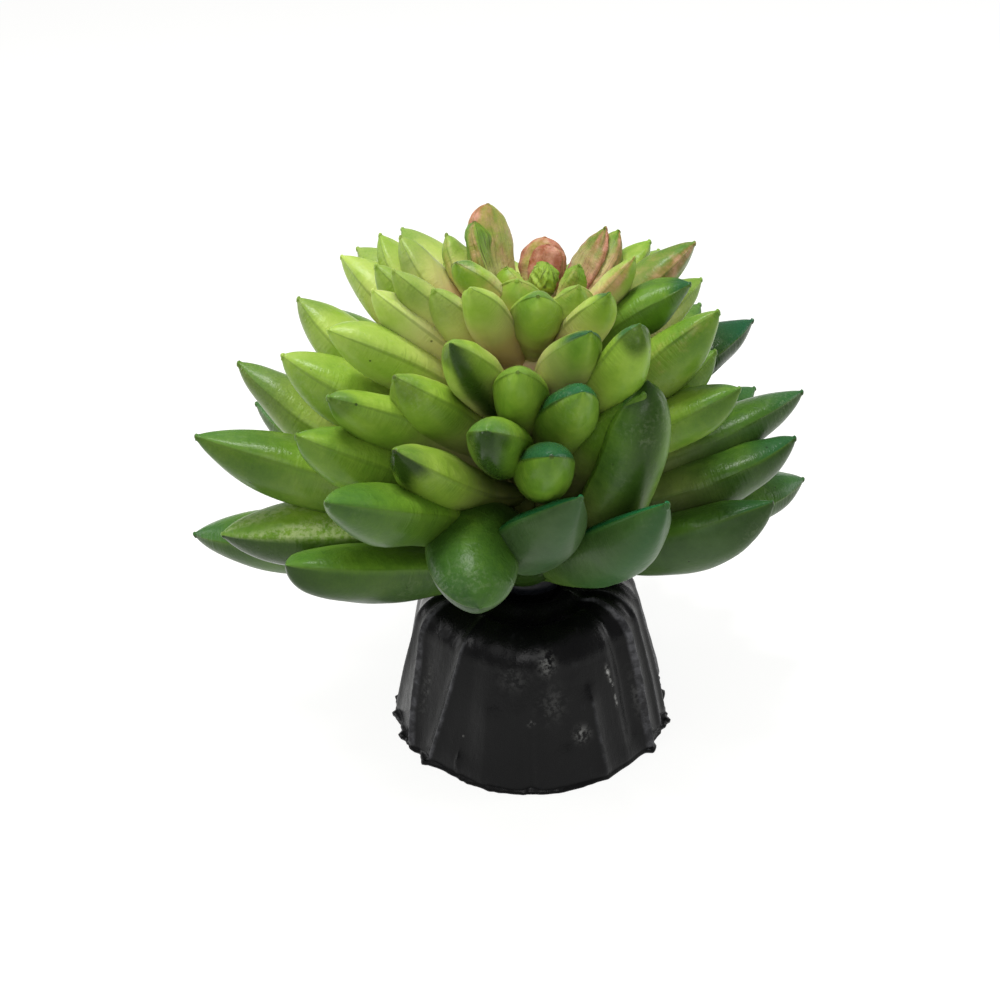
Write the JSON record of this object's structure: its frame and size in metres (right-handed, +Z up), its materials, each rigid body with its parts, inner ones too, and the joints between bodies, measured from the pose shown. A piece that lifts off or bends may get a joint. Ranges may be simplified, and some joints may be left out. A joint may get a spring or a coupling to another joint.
{
  "type": "potted succulent",
  "caption": "Rosette succulent of soft moulded leaves on a short stem, standing on a fluted black plug that is wider at its foot.",
  "frame": {"origin": "centre of the plug's flat bottom face, on the surface it stands on", "axes": "+Z up through the plug, -Y the front, +X to the right seen from the front"},
  "size_m": [0.1154, 0.1003, 0.0967],
  "materials": {
    "plug_black": "semi-gloss black soft plastic with scuffs",
    "stem_green": "matt yellow-green soft plastic",
    "leaf_dark_green": "satin soft plastic, dark green with airbrushed tips",
    "leaf_green": "satin soft plastic, yellow-green with dark green tips",
    "leaf_light_green": "satin soft plastic, pale yellow-green",
    "leaf_heart": "satin soft plastic, yellow-green flushed red"
  },
  "bodies": {
    "root": {"plug": "plug_black", "stem": "stem_green", "leaf_low_01": "leaf_dark_green", "leaf_low_02": "leaf_dark_green", "leaf_low_03": "leaf_dark_green", "leaf_low_04": "leaf_dark_green", "leaf_low_05": "leaf_dark_green", "leaf_low_06": "leaf_dark_green", "leaf_low_07": "leaf_dark_green", "leaf_low_08": "leaf_dark_green", "leaf_low_09": "leaf_dark_green", "leaf_low_10": "leaf_dark_green", "leaf_low_11": "leaf_dark_green", "leaf_low_12": "leaf_dark_green", "leaf_low_13": "leaf_dark_green", "leaf_low_14": "leaf_dark_green", "leaf_low_15": "leaf_dark_green", "leaf_second_01": "leaf_green", "leaf_second_02": "leaf_green", "leaf_second_03": "leaf_green", "leaf_second_04": "leaf_green", "leaf_second_05": "leaf_green", "leaf_second_06": "leaf_green", "leaf_second_07": "leaf_green", "leaf_second_08": "leaf_green", "leaf_second_09": "leaf_green", "leaf_second_10": "leaf_green", "leaf_second_11": "leaf_green", "leaf_second_12": "leaf_green", "leaf_second_13": "leaf_green", "leaf_second_14": "leaf_green", "leaf_second_15": "leaf_green", "leaf_third_01": "leaf_green", "leaf_third_02": "leaf_green", "leaf_third_03": "leaf_green", "leaf_third_04": "leaf_green", "leaf_third_05": "leaf_green", "leaf_third_06": "leaf_green", "leaf_third_07": "leaf_green", "leaf_third_08": "leaf_green", "leaf_third_09": "leaf_green", "leaf_third_10": "leaf_green", "leaf_third_11": "leaf_green", "leaf_third_12": "leaf_green", "leaf_third_13": "leaf_green", "leaf_third_14": "leaf_green", "leaf_third_15": "leaf_green", "leaf_third_16": "leaf_green", "leaf_third_17": "leaf_green", "whorl_mid": "leaf_light_green", "whorl_upper": "leaf_light_green", "whorl_high": "leaf_light_green", "whorl_crown": "leaf_light_green", "whorl_inner": "leaf_light_green", "whorl_heart": "leaf_heart"}
  },
  "joints": []
}
